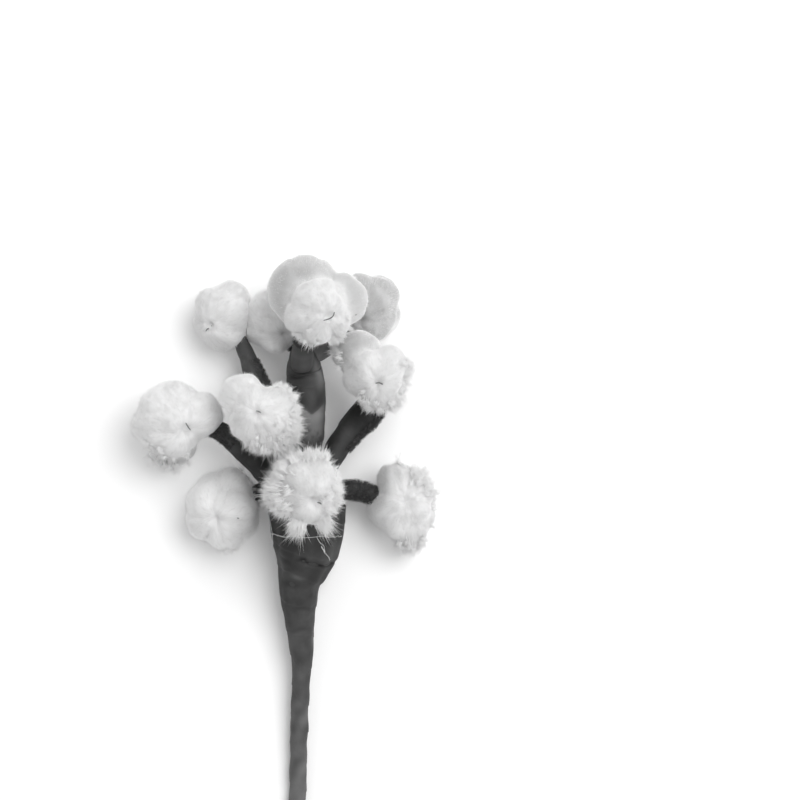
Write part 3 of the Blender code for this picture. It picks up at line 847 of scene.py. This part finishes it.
# Each head: its main ball and the lobes on it, as x, y, z, radius, then the way from its middle to
# its dimple, as the solid part has them. Last its shaggy places: a way from the middle, how far
# tufts spread from it in degrees, how long they are and how many there are.
HEADS = {
    "head_1": (
        ((-63.2, -5.5, 18.0, 10.7), (-54.5, -4.2, 19.0, 6.8), (-62.9, -11.9, 12.0, 7.4)),
        (0.54, -0.33, 0.77),
        (((-0.1, -1.0, -0.3), 18, 1.6, 48), ((-0.4, -0.9, 0.3), 10, 1.2, 15)),
    ),
    "head_2": (
        ((-48.4, 23.5, 9.3, 9.7),),
        (-0.5, -0.37, 0.78),
        (((0.5, -0.8, 0.0), 13, 1.0, 18),),
    ),
    "head_3": (
        ((-48.8, -30.1, 10.7, 11.4),),
        (-0.2, -0.25, 0.93),
        (((0.1, -1.0, -0.1), 12, 0.9, 18), ((0.8, 0.5, -0.2), 15, 1.0, 18)),
    ),
    "head_4": (
        ((-36.7, -4.5, 35.0, 10.4), (-42.6, 1.9, 33.5, 7.0)),
        (-0.2, 0.15, 0.96),
        (
            ((0.95, 0.1, 0.0), 14, 2.0, 54), ((0.6, 0.7, 0.0), 11, 1.2, 21),
            ((0.8, -0.55, 0.0), 14, 2.6, 50), ((0.0, -1.0, 0.1), 18, 1.8, 30),
            ((0.5, -0.9, -0.2), 10, 4.0, 36), ((0.7, -0.4, 0.55), 12, 2.4, 12),
        ),
    ),
    "head_5": (
        ((-24.3, -23.7, 38.0, 10.9), (-23.5, -28.4, 34.8, 7.0)),
        (0.22, -0.38, 0.9),
        (
            ((-1.0, 0.0, 0.0), 18, 3.4, 80), ((-0.7, 0.7, 0.0), 16, 3.2, 60),
            ((0.1, 1.0, -0.1), 18, 2.4, 60), ((-0.28, -1.0, 0.25), 4, 5.2, 44),
            ((0.42, -1.0, 0.25), 4, 5.2, 44), ((-0.8, -0.6, 0.1), 13, 3.2, 50),
            ((1.0, -0.1, 0.0), 22, 1.9, 70),
        ),
    ),
    "head_6": (
        ((-22.0, 24.1, 35.0, 9.3), (-25.7, 29.2, 28.0, 10.3), (-15.4, 27.3, 28.0, 7.3)),
        (0.37, -0.22, 0.9),
        (((-0.5, -0.9, 0.0), 15, 1.6, 27), ((0.6, -0.8, -0.1), 15, 1.6, 27)),
    ),
    "head_7": (
        ((-9.4, 25.5, 9.6, 10.2), (-5.5, 28.8, 10.0, 6.1)),
        (-0.2, -0.4, 0.9),
        (),
    ),
    "head_8": (
        ((-6.0, 6.0, 27.0, 9.7), (-11.7, 13.0, 24.5, 7.4)),
        (0.0, -0.18, 0.98),
        (
            ((-0.9, 0.5, 0.0), 8, 1.4, 15), ((-0.3, -1.0, 0.1), 16, 1.6, 30),
            ((0.5, -0.8, 0.0), 16, 2.0, 30), ((1.0, 0.1, 0.0), 16, 2.2, 30),
        ),
    ),
    "head_9": (
        ((0.8, -29.6, 9.8, 10.2), (-0.8, -22.9, 11.0, 6.6), (2.2, -36.0, 9.5, 6.1)),
        (0.1, 0.25, 0.96),
        (
            ((0.5, 0.9, 0.3), 13, 3.2, 39), ((0.1, -1.0, 0.1), 12, 1.9, 33),
            ((1.0, 0.3, 0.0), 12, 1.0, 24),
        ),
    ),
    "head_10": (
        ((-34.0, 22.1, 9.8, 10.0),),
        (0.3, -0.5, 0.8),
        (),
    ),
}
# the lobes where the pile is thin and greyer with painted shade, counted from 0, its main ball, and
# how thin they are
SHADED_THIN_LOBES = {
    "head_6": {1: 1.0, 2: 0.9},
    "head_7": {0: 0.9, 1: 0.9},
    "head_8": {1: 1.0},
    "head_9": {1: 0.7, 2: 0.5},
    "head_1": {2: 1.0},
}
# how deep the longest pile is round a head, where it stands clear of the winding, in mm
SHAG = {"head_4": 0.9, "head_5": 1.8, "head_8": 0.5, "head_9": 0.4}
TURNS = 8
TURN_RADIUS = (0.58, 0.65)
TURN_OFFSET = 0.40
TURN_WANDER = 0.4
CORE_RADIUS = 0.86
BLEND = 1.4
BLEND_GAIN = 1.07
EYE_DEPTH = 0.22
EYE_ANGLE = np.radians(11)
EYE_SIDE = (0.3, 1.0, 0.2)
CREASES = 6
CREASE_DEPTH = 0.048
CREASE_WIDTH = 0.10
CREASE_REACH = 1.7
CREASE_WANDER = 0.4
HEAD_SEED = 100
PILE_OVERLAP = 0.5

CORE_SUNK = 0.5
CORE_SEEP = 0.8
CORE_RINGS = 64
CORE_SIDES = 96
WAVES = 24
UNEVEN_LENGTHS = (6.0, 14.0)
UNEVEN_HEIGHT = 0.4
LUMP_LENGTHS = (2.5, 8.0)
LUMP_HEIGHT = 0.08
THIN_LUMPS = 2.0
STRANDS_ROUND = 10.0
STRANDS_ALONG = 6.0

FIBRES = 7800
FIBRE_RINGS = ((0.0, 1.0),)
FIBRE_CHOICE = 3
THIN_FIBRES = 0.6
LEAST_FACING = 0.3
FIBRE_RADIUS = 0.035
FIBRE_DEEP = 1.2
FIBRE_PROUD = 0.15
FIBRE_UNEVEN = 0.2
FIBRE_SPREAD = 0.01
OWN_LEAN = 0.7
TUFTS = 1100
TUFT_PULL = (0.15, 0.55)
SHORTEST_FIBRE = 0.5
HAIRS = 26
UNEVEN_HAIRS = (0.25, 1.05)
HAIR_RADIUS = 0.06
HAIR_DEEP = 0.8
TUFT_WIDTH = 0.55
TUFT_TIP = 0.35
TUFT_FAN = 0.15
TUFT_FLAT = 0.35
TUFT_BEND = 0.4
TUFT_BOW = 0.2
TUFT_LENGTHS = (0.5, 1.1)
TUFT_DROOP = 0.25
# fibres whose middle, at this share of their length, would be in the stalk are left out
CLEAR_AT = 0.6
STALK_AIR = 0.1

PILE_COLOUR = grey(0.98)
PILE_PATCH_COLOUR = grey(0.93)
# the painted shade of thin lobes
PILE_SHADE_COLOUR = grey(0.42)
PILE_PARTED_COLOUR = grey(0.86)
PILE_FINISH = {
    "Roughness": 0.9,
    "Specular IOR Level": 0.2,
    "Sheen Weight": 1.0,
    "Sheen Roughness": 0.4,
    "Subsurface Radius": (1, 1, 1),
    "Subsurface Scale": 7 * MM,
}
PILE_PATCHES = {"Scale": 220, "Detail": 2, "From": 0.5, "To": 0.8}
PARTED_PILE = {"Scale": 1, "Detail": 2, "From": 0.5, "To": 0.25}
STRAND_BUMP = {"Strength": 0.5, "Distance": 0.35 * MM}
# how fast the painted shade of thin lobes fades towards the sides of a lobe, leaving a painted pale
# rim: less is later
PAINTED_RIM_FADE = 0.24


def middle_of(name):
    """The middle of a head's main ball."""
    return np.array(HEADS[name][0][0][:3])


def wound_balls(name, rng):
    """The balls whose union is the head, as middles measured from the head's own middle, and
    radii: a core, turns set off-centre on a jittered golden spiral, and the head's lobes."""
    (*middle, radius), *lobes = HEADS[name][0]
    radius = BLEND_GAIN * radius
    least, most = zip((-TURN_WANDER, TURN_WANDER), TURN_RADIUS)
    wander, size = rng.uniform(least, most, (TURNS, 2)).T
    balls = np.concatenate([
        [(0, 0, 0, CORE_RADIUS * radius)],
        np.column_stack([TURN_OFFSET * radius * even_directions(TURNS, wander), size * radius]),
        np.reshape(lobes, (-1, 4)) - (*middle, 0),
    ])
    return balls[:, :3], balls[:, 3]


def waves(points, lengths, seed):
    """Unevenness of about -1 to 1: a sum of plane waves in all directions, of these lengths."""
    rng = np.random.default_rng(seed)
    ways = 2 * np.pi * unit(rng.normal(size=(WAVES, 3))) / rng.uniform(*lengths, (WAVES, 1))
    starts = rng.uniform(0, 2 * np.pi, WAVES)
    return np.cos(points @ ways.T + starts).sum(axis=1) / WAVES**0.5


def head_form(name, seed):
    """What shapes a head: its name and seed, its balls, the way to its dimple, and the angles of the
    creases round that, evenly spaced and then shifted by a random draw."""
    rng = np.random.default_rng(seed)
    balls = wound_balls(name, rng)
    creases = ring_angles(CREASES) + rng.uniform(-CREASE_WANDER, CREASE_WANDER, CREASES)
    return name, seed, balls, unit(np.array(HEADS[name][1])), creases


def round_eye(ways, eye):
    """Where each direction lies round the eye: its angle from it, and how far it goes along each of
    two directions square to it."""
    side = unit(np.cross(eye, EYE_SIDE))
    return np.arccos(np.clip(ways @ eye, -1, 1)), ways @ side, ways @ np.cross(eye, side)


def wound_surface(ways, form):
    """How far the head reaches in each direction, the middle of the ball that it is on there, and
    the share of each ball in it.

    Reach is the mean of the exits from the balls, weighted by exp(BLEND * exit), so that the
    furthest counts most and its neighbours blend in. Off it come a bell-shaped dimple round the eye
    and narrow grooves that leave the eye at the angles of `creases` and die away from it. Long waves
    make it uneven, and the head's shag is left room for."""
    name, seed, (middles, radii), eye, creases = form
    along = ways @ middles.T
    inside = radii**2 - (middles**2).sum(axis=1) + along**2
    exits = np.where(inside > 0, along + np.sqrt(np.maximum(inside, 0)), 0)
    share = np.exp(BLEND * (exits - exits.max(axis=1, keepdims=True)))
    share /= share.sum(axis=1, keepdims=True)
    from_eye, x, y = round_eye(ways, eye)
    turn = np.arctan2(y, x)
    off = np.abs((turn[:, None] - creases + np.pi) % (2 * np.pi) - np.pi).min(axis=1)
    groove = bell(off * np.sin(from_eye) / CREASE_WIDTH) * bell(from_eye / CREASE_REACH)
    sunk = EYE_DEPTH * bell(from_eye / EYE_ANGLE) + CREASE_DEPTH * groove
    reach = (share * exits).sum(axis=1) * (1 - sunk)
    reach += UNEVEN_HEIGHT * waves(ways * reach[:, None], UNEVEN_LENGTHS, seed)
    return reach - SHAG.get(name, 0), share @ middles, share


def thinness(name, share):
    """How thin the pile is, from 0 to 1, which also sets the painted shade of thin lobes: the shares
    of the thin lobes, each times its thinness. A head's main ball counts with the turns that are
    wound round it."""
    thin_shade = np.zeros(len(share))
    for lobe, amount in SHADED_THIN_LOBES.get(name, {}).items():
        first = TURNS + lobe if lobe else 0
        thin_shade += amount * share[:, first : TURNS + lobe + 1].sum(axis=1)
    return thin_shade


def pressing_planes(name):
    """Where the pile is pressed flat: on the table, and half-way to a head that it touches. Each is
    a direction from the head's middle and a distance."""
    x, y, z, radius = HEADS[name][0][0]
    planes = [(np.array((0.0, 0.0, -1.0)), z)]
    for other, ((main, *_), _, _) in HEADS.items():
        apart = np.array(main[:3]) - (x, y, z)
        distance = np.linalg.norm(apart)
        if other != name and distance < radius + main[3]:
            share = (distance**2 + radius**2 - main[3] ** 2) / (2 * distance)
            planes.append((apart / distance, share + PILE_OVERLAP / 2))
    return planes


def pressed(points, planes):
    """The points, each moved straight back to a plane that it is past."""
    for way, distance in planes:
        points = points - np.maximum(points @ way - distance, 0)[:, None] * way
    return points


def tufts_of(form, rng):
    """The long tufts in the head's shaggy places, as roots, bends and tips. Each is a bundle of hairs
    that stand in a small patch, square to the turn there. They lie over outward, droop a little and
    fan out, so that their tips are spread by TUFT_TIP and more the longer they are."""
    ways = []
    lengths = []
    for way, width, length, number in HEADS[form[0]][2]:
        ways.append(unit(unit(np.array(way)) + rng.normal(0, np.radians(width), (number, 3))))
        lengths.append(length * rng.uniform(*TUFT_LENGTHS, number))
    ways = np.repeat(np.concatenate(ways), HAIRS, axis=0)
    lengths = np.repeat(np.concatenate(lengths), HAIRS)
    reach, middles, _ = wound_surface(ways, form)
    heart = ways * reach[:, None]
    lean = unit(heart - middles)
    comb = unit(lean * (1, 1, TUFT_FLAT))
    spread = rng.normal(0, TUFT_WIDTH, heart.shape)
    roots = heart + spread - lean * (HAIR_DEEP + (spread * lean).sum(axis=1))[:, None]
    uneven = lengths * rng.uniform(*UNEVEN_HAIRS, len(lengths))
    droop = np.array((0, 0, -TUFT_DROOP)) * lengths[:, None]
    tips = heart + comb * uneven[:, None] + droop
    tips += rng.normal(0, 1, heart.shape) * (TUFT_TIP + TUFT_FAN * lengths[:, None])
    bends = roots + TUFT_BEND * (tips - roots) + TUFT_BOW * lengths[:, None] * lean
    return roots, bends, tips


def chenille_pile():
    """White pile: soft and matt, with faint patches. The mark "seep" is how much light seeps through
    it, in the core and not in single fibres, and "thin_shade" runs to 1 where the pile is thin and
    greyer with painted shade, paler again at a lobe's sides as a painted rim highlight. "strand"
    drifts slowly along a strand and fast across it, and the pile parts between strands."""
    material, tree, shader = new_material("white_chenille", PILE_FINISH)
    place = node(tree, "ShaderNodeTexCoord", -800, 300).outputs["Object"]
    patchy = patches(tree, -600, 300, place, PILE_PATCHES)["Share"]
    strands = patches(tree, -600, -500, marked(tree, -800, -500, "strand", "Vector"), PARTED_PILE)
    colour = mixed(tree, -400, 200, patchy, PILE_COLOUR, PILE_PATCH_COLOUR)
    colour = mixed(tree, -300, 200, strands["Share"], colour, PILE_PARTED_COLOUR)
    # painted shade on thin lobes
    colour = mixed(tree, -200, 200, marked(tree, -400, 0, "thin_shade"), colour, PILE_SHADE_COLOUR)
    sockets = {"Height": strands["Grain"], **STRAND_BUMP}
    bump = node(tree, "ShaderNodeBump", -300, -500, sockets).outputs["Normal"]
    seep = marked(tree, -300, -300, "seep")
    filled(shader, {"Base Color": colour, "Subsurface Weight": seep, "Normal": bump})
    return material


white_pile = chenille_pile()


def core_grid():
    """Directions over a ball in rings from its lower pole to its upper one, the poles left out: the
    end fans close them."""
    polar = np.linspace(np.pi, 0, CORE_RINGS + 2)[1:-1][:, None]
    turn = ring_angles(CORE_SIDES)
    ways = (np.sin(polar) * np.cos(turn), np.sin(polar) * np.sin(turn), np.cos(polar) + 0 * turn)
    return np.stack(ways, axis=-1).reshape(-1, 3)


def stalk_end(name):
    """A head's stalk from the neck on, finely, as x, y, z, radius from the head's middle."""
    rows, mouth = stalk_rows(name.replace("head", "stalk"))
    rows = drawn_smooth(rows, evenly(mouth, lengths_along(rows)[-1], STALK_STEP))
    rows[:, :3] -= middle_of(name)
    return rows


def clear_of(points, rows, gap):
    """Which points are outside the tube along the rows, by more than the gap."""
    apart = np.linalg.norm(points[:, None] - rows[None, :, :3], axis=2) - rows[:, 3]
    return apart.min(axis=1) > gap


def joined(shapes):
    """One set of points and triangles from several."""
    starts = np.cumsum([0] + [len(points) for points, _ in shapes[:-1]])
    triangles = [faces + start for (_, faces), start in zip(shapes, starts)]
    return np.concatenate([points for points, _ in shapes]), np.concatenate(triangles)


def strand_places(ways, form):
    """Which strand of pile each direction is on. Strands run out from the eye, so the place is
    STRANDS_ROUND times the unit way round the eye, with STRANDS_ALONG times the angle from it."""
    away, x, y = round_eye(ways, form[3])
    return np.column_stack([STRANDS_ROUND * unit(np.stack([x, y], axis=1)), STRANDS_ALONG * away])


def pile_head(name, seed):
    """A lumpy core under short fibres. Each fibre stands square to the turn that it grows from, there
    are fewer where the pile is thin, and those near one another lean together. Long tufts stand in
    the shaggy places."""
    rng = np.random.default_rng(seed)
    form = head_form(name, seed)
    planes = pressing_planes(name)

    ways = core_grid()
    reach, middles, share = wound_surface(ways, form)
    surface = ways * reach[:, None]
    thin_shade = thinness(name, share)
    raised = LUMP_HEIGHT * (1 + THIN_LUMPS * thin_shade) * waves(surface, LUMP_LENGTHS, seed)
    core = pressed(ways * (reach - CORE_SUNK + raised)[:, None], planes)
    shapes = [(core, tube_triangles(CORE_RINGS, CORE_SIDES, False))]
    marks = {
        "seep": np.full(len(core), CORE_SEEP),
        # painted shade on thin lobes, greyest on top and fading to a painted pale rim at their sides
        "thin_shade": thin_shade * np.maximum(unit(surface - middles)[:, 2], 0) ** PAINTED_RIM_FADE,
        "strand": strand_places(ways, form),
    }

    ways = even_directions(FIBRE_CHOICE * FIBRES)
    ways = unit(ways + rng.normal(0, FIBRE_SPREAD, ways.shape))
    reach, middles, share = wound_surface(ways, form)
    surface = ways * reach[:, None]
    square = unit(surface - middles)
    room = reach**2 / np.maximum((square * ways).sum(axis=1), LEAST_FACING)
    room = room * (1 - THIN_FIBRES * thinness(name, share))
    picked = rng.choice(len(ways), FIBRES, replace=False, p=room / room.sum())
    ways, surface, square = ways[picked], surface[picked], square[picked]
    lean = unit(OWN_LEAN * square + (1 - OWN_LEAN) * ways)
    tips = surface + lean * rng.normal(FIBRE_PROUD, FIBRE_UNEVEN, FIBRES)[:, None]
    roots = surface - lean * FIBRE_DEEP
    tips = pressed(in_tufts(surface, tips, TUFTS, TUFT_PULL, rng), planes)
    roots = pressed(roots, planes)
    clear = clear_of(roots + CLEAR_AT * (tips - roots), stalk_end(name), STALK_AIR)
    clear &= np.linalg.norm(tips - roots, axis=1) > SHORTEST_FIBRE
    roots, tips = roots[clear], tips[clear]
    shapes.append(hairs(roots, roots, tips, FIBRE_RADIUS, FIBRE_RINGS))

    if HEADS[name][2]:
        roots, bends, tips = tufts_of(form, rng)
        shapes.append(hairs(pressed(roots, planes), bends, pressed(tips, planes), HAIR_RADIUS))
    points, triangles = joined(shapes)
    points = points + middle_of(name)
    piece = new_piece(name + "_pile", points, triangles, white_pile, "pile", **marks)
    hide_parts(name)


for i, name in enumerate(HEADS):
    pile_head(name, HEAD_SEED + i)


# Eye wires. The chenille's twisted wire shows where a head's turns run together, as short dark
# ends among the tips of the pile. Each is places on its head's upper side, as x, y.
EYE_WIRES = {
    "eye_1": ("head_1", ((-57.9, -6.2), (-57.5, -7.2), (-56.9, -8.2))),
    "eye_2a": ("head_2", ((-53.4, 18.9), (-52.9, 19.5), (-52.5, 19.7))),
    "eye_2b": ("head_2", ((-52.9, 19.3), (-52.3, 20.2), (-51.7, 20.4))),
    "eye_3": ("head_3", ((-44.4, -32.1), (-43.8, -32.3))),
    "eye_4": ("head_4", ((-38.2, -2.9), (-37.6, -3.0), (-36.9, -3.4))),
    "eye_5": ("head_5", ((-21.9, -27.1), (-21.3, -27.2), (-20.7, -27.6))),
    "eye_6a": ("head_6", ((-20.3, 21.1), (-19.0, 21.5), (-18.1, 21.9))),
    "eye_6b": ("head_6", ((-18.3, 21.7), (-17.7, 22.4), (-17.4, 23.3))),
    "eye_6c": ("head_6", ((-12.0, 22.7), (-11.6, 22.9))),
    "eye_8": ("head_8", ((-6.6, 4.5), (-5.6, 4.6), (-4.6, 4.2))),
}
TOP_TRIES = 8
EYE_WIRE_RADIUS = 0.13
EYE_WIRE_SUNK = 0.15
EYE_WIRE_STEP = 0.2
EYE_WIRE_END = 0.5
# dark and half glossy, brighter where it is scraped
EYE_STEEL = ((grey(0.05), grey(0.12)), (0.5, 0.3), 0.5, 0.6)


def top_of(name, x, y):
    """The height of the head's upper side at each x, y from its middle. It starts from the main
    ball's radius, and is worked out again and again from the head's reach towards the last height."""
    form = head_form(name, HEAD_SEED + list(HEADS).index(name))
    z = np.full(len(x), HEADS[name][0][0][3])
    for _ in range(TOP_TRIES):
        reach, _, _ = wound_surface(unit(np.stack([x, y, z], axis=1)), form)
        z = np.sqrt(np.maximum(reach**2 - x**2 - y**2, 0))
    return z


eye_steel = in_patches("dark_wire", *EYE_STEEL)
for name, (head, places) in EYE_WIRES.items():
    middle = middle_of(head)
    x, y = (np.array(places) - middle[:2]).T
    z = top_of(head, x, y) - EYE_WIRE_SUNK
    rows = np.stack([x, y, z, np.full(len(x), EYE_WIRE_RADIUS)], axis=1)
    rows, _ = drawn_evenly(rows, EYE_WIRE_STEP)
    rows[:, :3] += middle
    rows[[0, -1], 3] *= EYE_WIRE_END
    new_piece(name, *rod(rows, THREAD_SIDES), eye_steel, "tape")


# Table, light and camera: a white table, a broad soft light from the upper right, and a camera
# that looks straight down, as the stem was photographed.
TABLE_SIZE = 3.0
TABLE_FINISH = {"Base Color": grey(0.95), "Roughness": 0.8, "Specular IOR Level": 0.1}
WORLD_LIGHT = {"Color": grey(1), "Strength": 0.62}
BOUNCES = 8
SOFTBOX_SIZE = 1.45
SOFTBOX_POWER = 29.0
SOFTBOX_WAY = unit(np.array((0.42, 0.30, 1.0)))
SOFTBOX_AWAY = 2.0
CAMERA_HEIGHT = 0.8
SENSOR = 36.0
LENS = 128.571
NEAREST_SEEN = 0.01

table_corners = np.array(((-1, -1, 0), (1, -1, 0), (1, 1, 0), (-1, 1, 0))) * TABLE_SIZE / 2
table_mesh = bpy.data.meshes.new("table")
table_mesh.from_pydata(table_corners.tolist(), [], [(0, 1, 2, 3)])
table_mesh.materials.append(new_material("white_table", TABLE_FINISH)[0])
table = placed("table", table_mesh)

world = bpy.data.worlds.new("studio")
world.use_nodes = True
filled(world.node_tree.nodes["Background"], WORLD_LIGHT)
bpy.context.scene.world = world
bpy.context.scene.view_settings.view_transform = "Standard"
bpy.context.scene.cycles.diffuse_bounces = BOUNCES

softbox = bpy.data.lights.new("softbox", "AREA")
softbox.shape = "DISK"
softbox.size = SOFTBOX_SIZE
softbox.energy = SOFTBOX_POWER
softbox_object = placed("softbox", softbox)
softbox_object.location = SHEET_MIDDLE + SOFTBOX_AWAY * SOFTBOX_WAY
softbox_object.rotation_mode = "QUATERNION"
softbox_object.rotation_quaternion = mathutils.Vector(SOFTBOX_WAY).to_track_quat("Z", "Y")

camera = bpy.data.cameras.new("camera")
camera.sensor_width = SENSOR
camera.lens = LENS
camera.clip_start = NEAREST_SEEN
camera_object = placed("camera", camera)
camera_object.location = SHEET_MIDDLE + (0, 0, CAMERA_HEIGHT)
bpy.context.scene.camera = camera_object
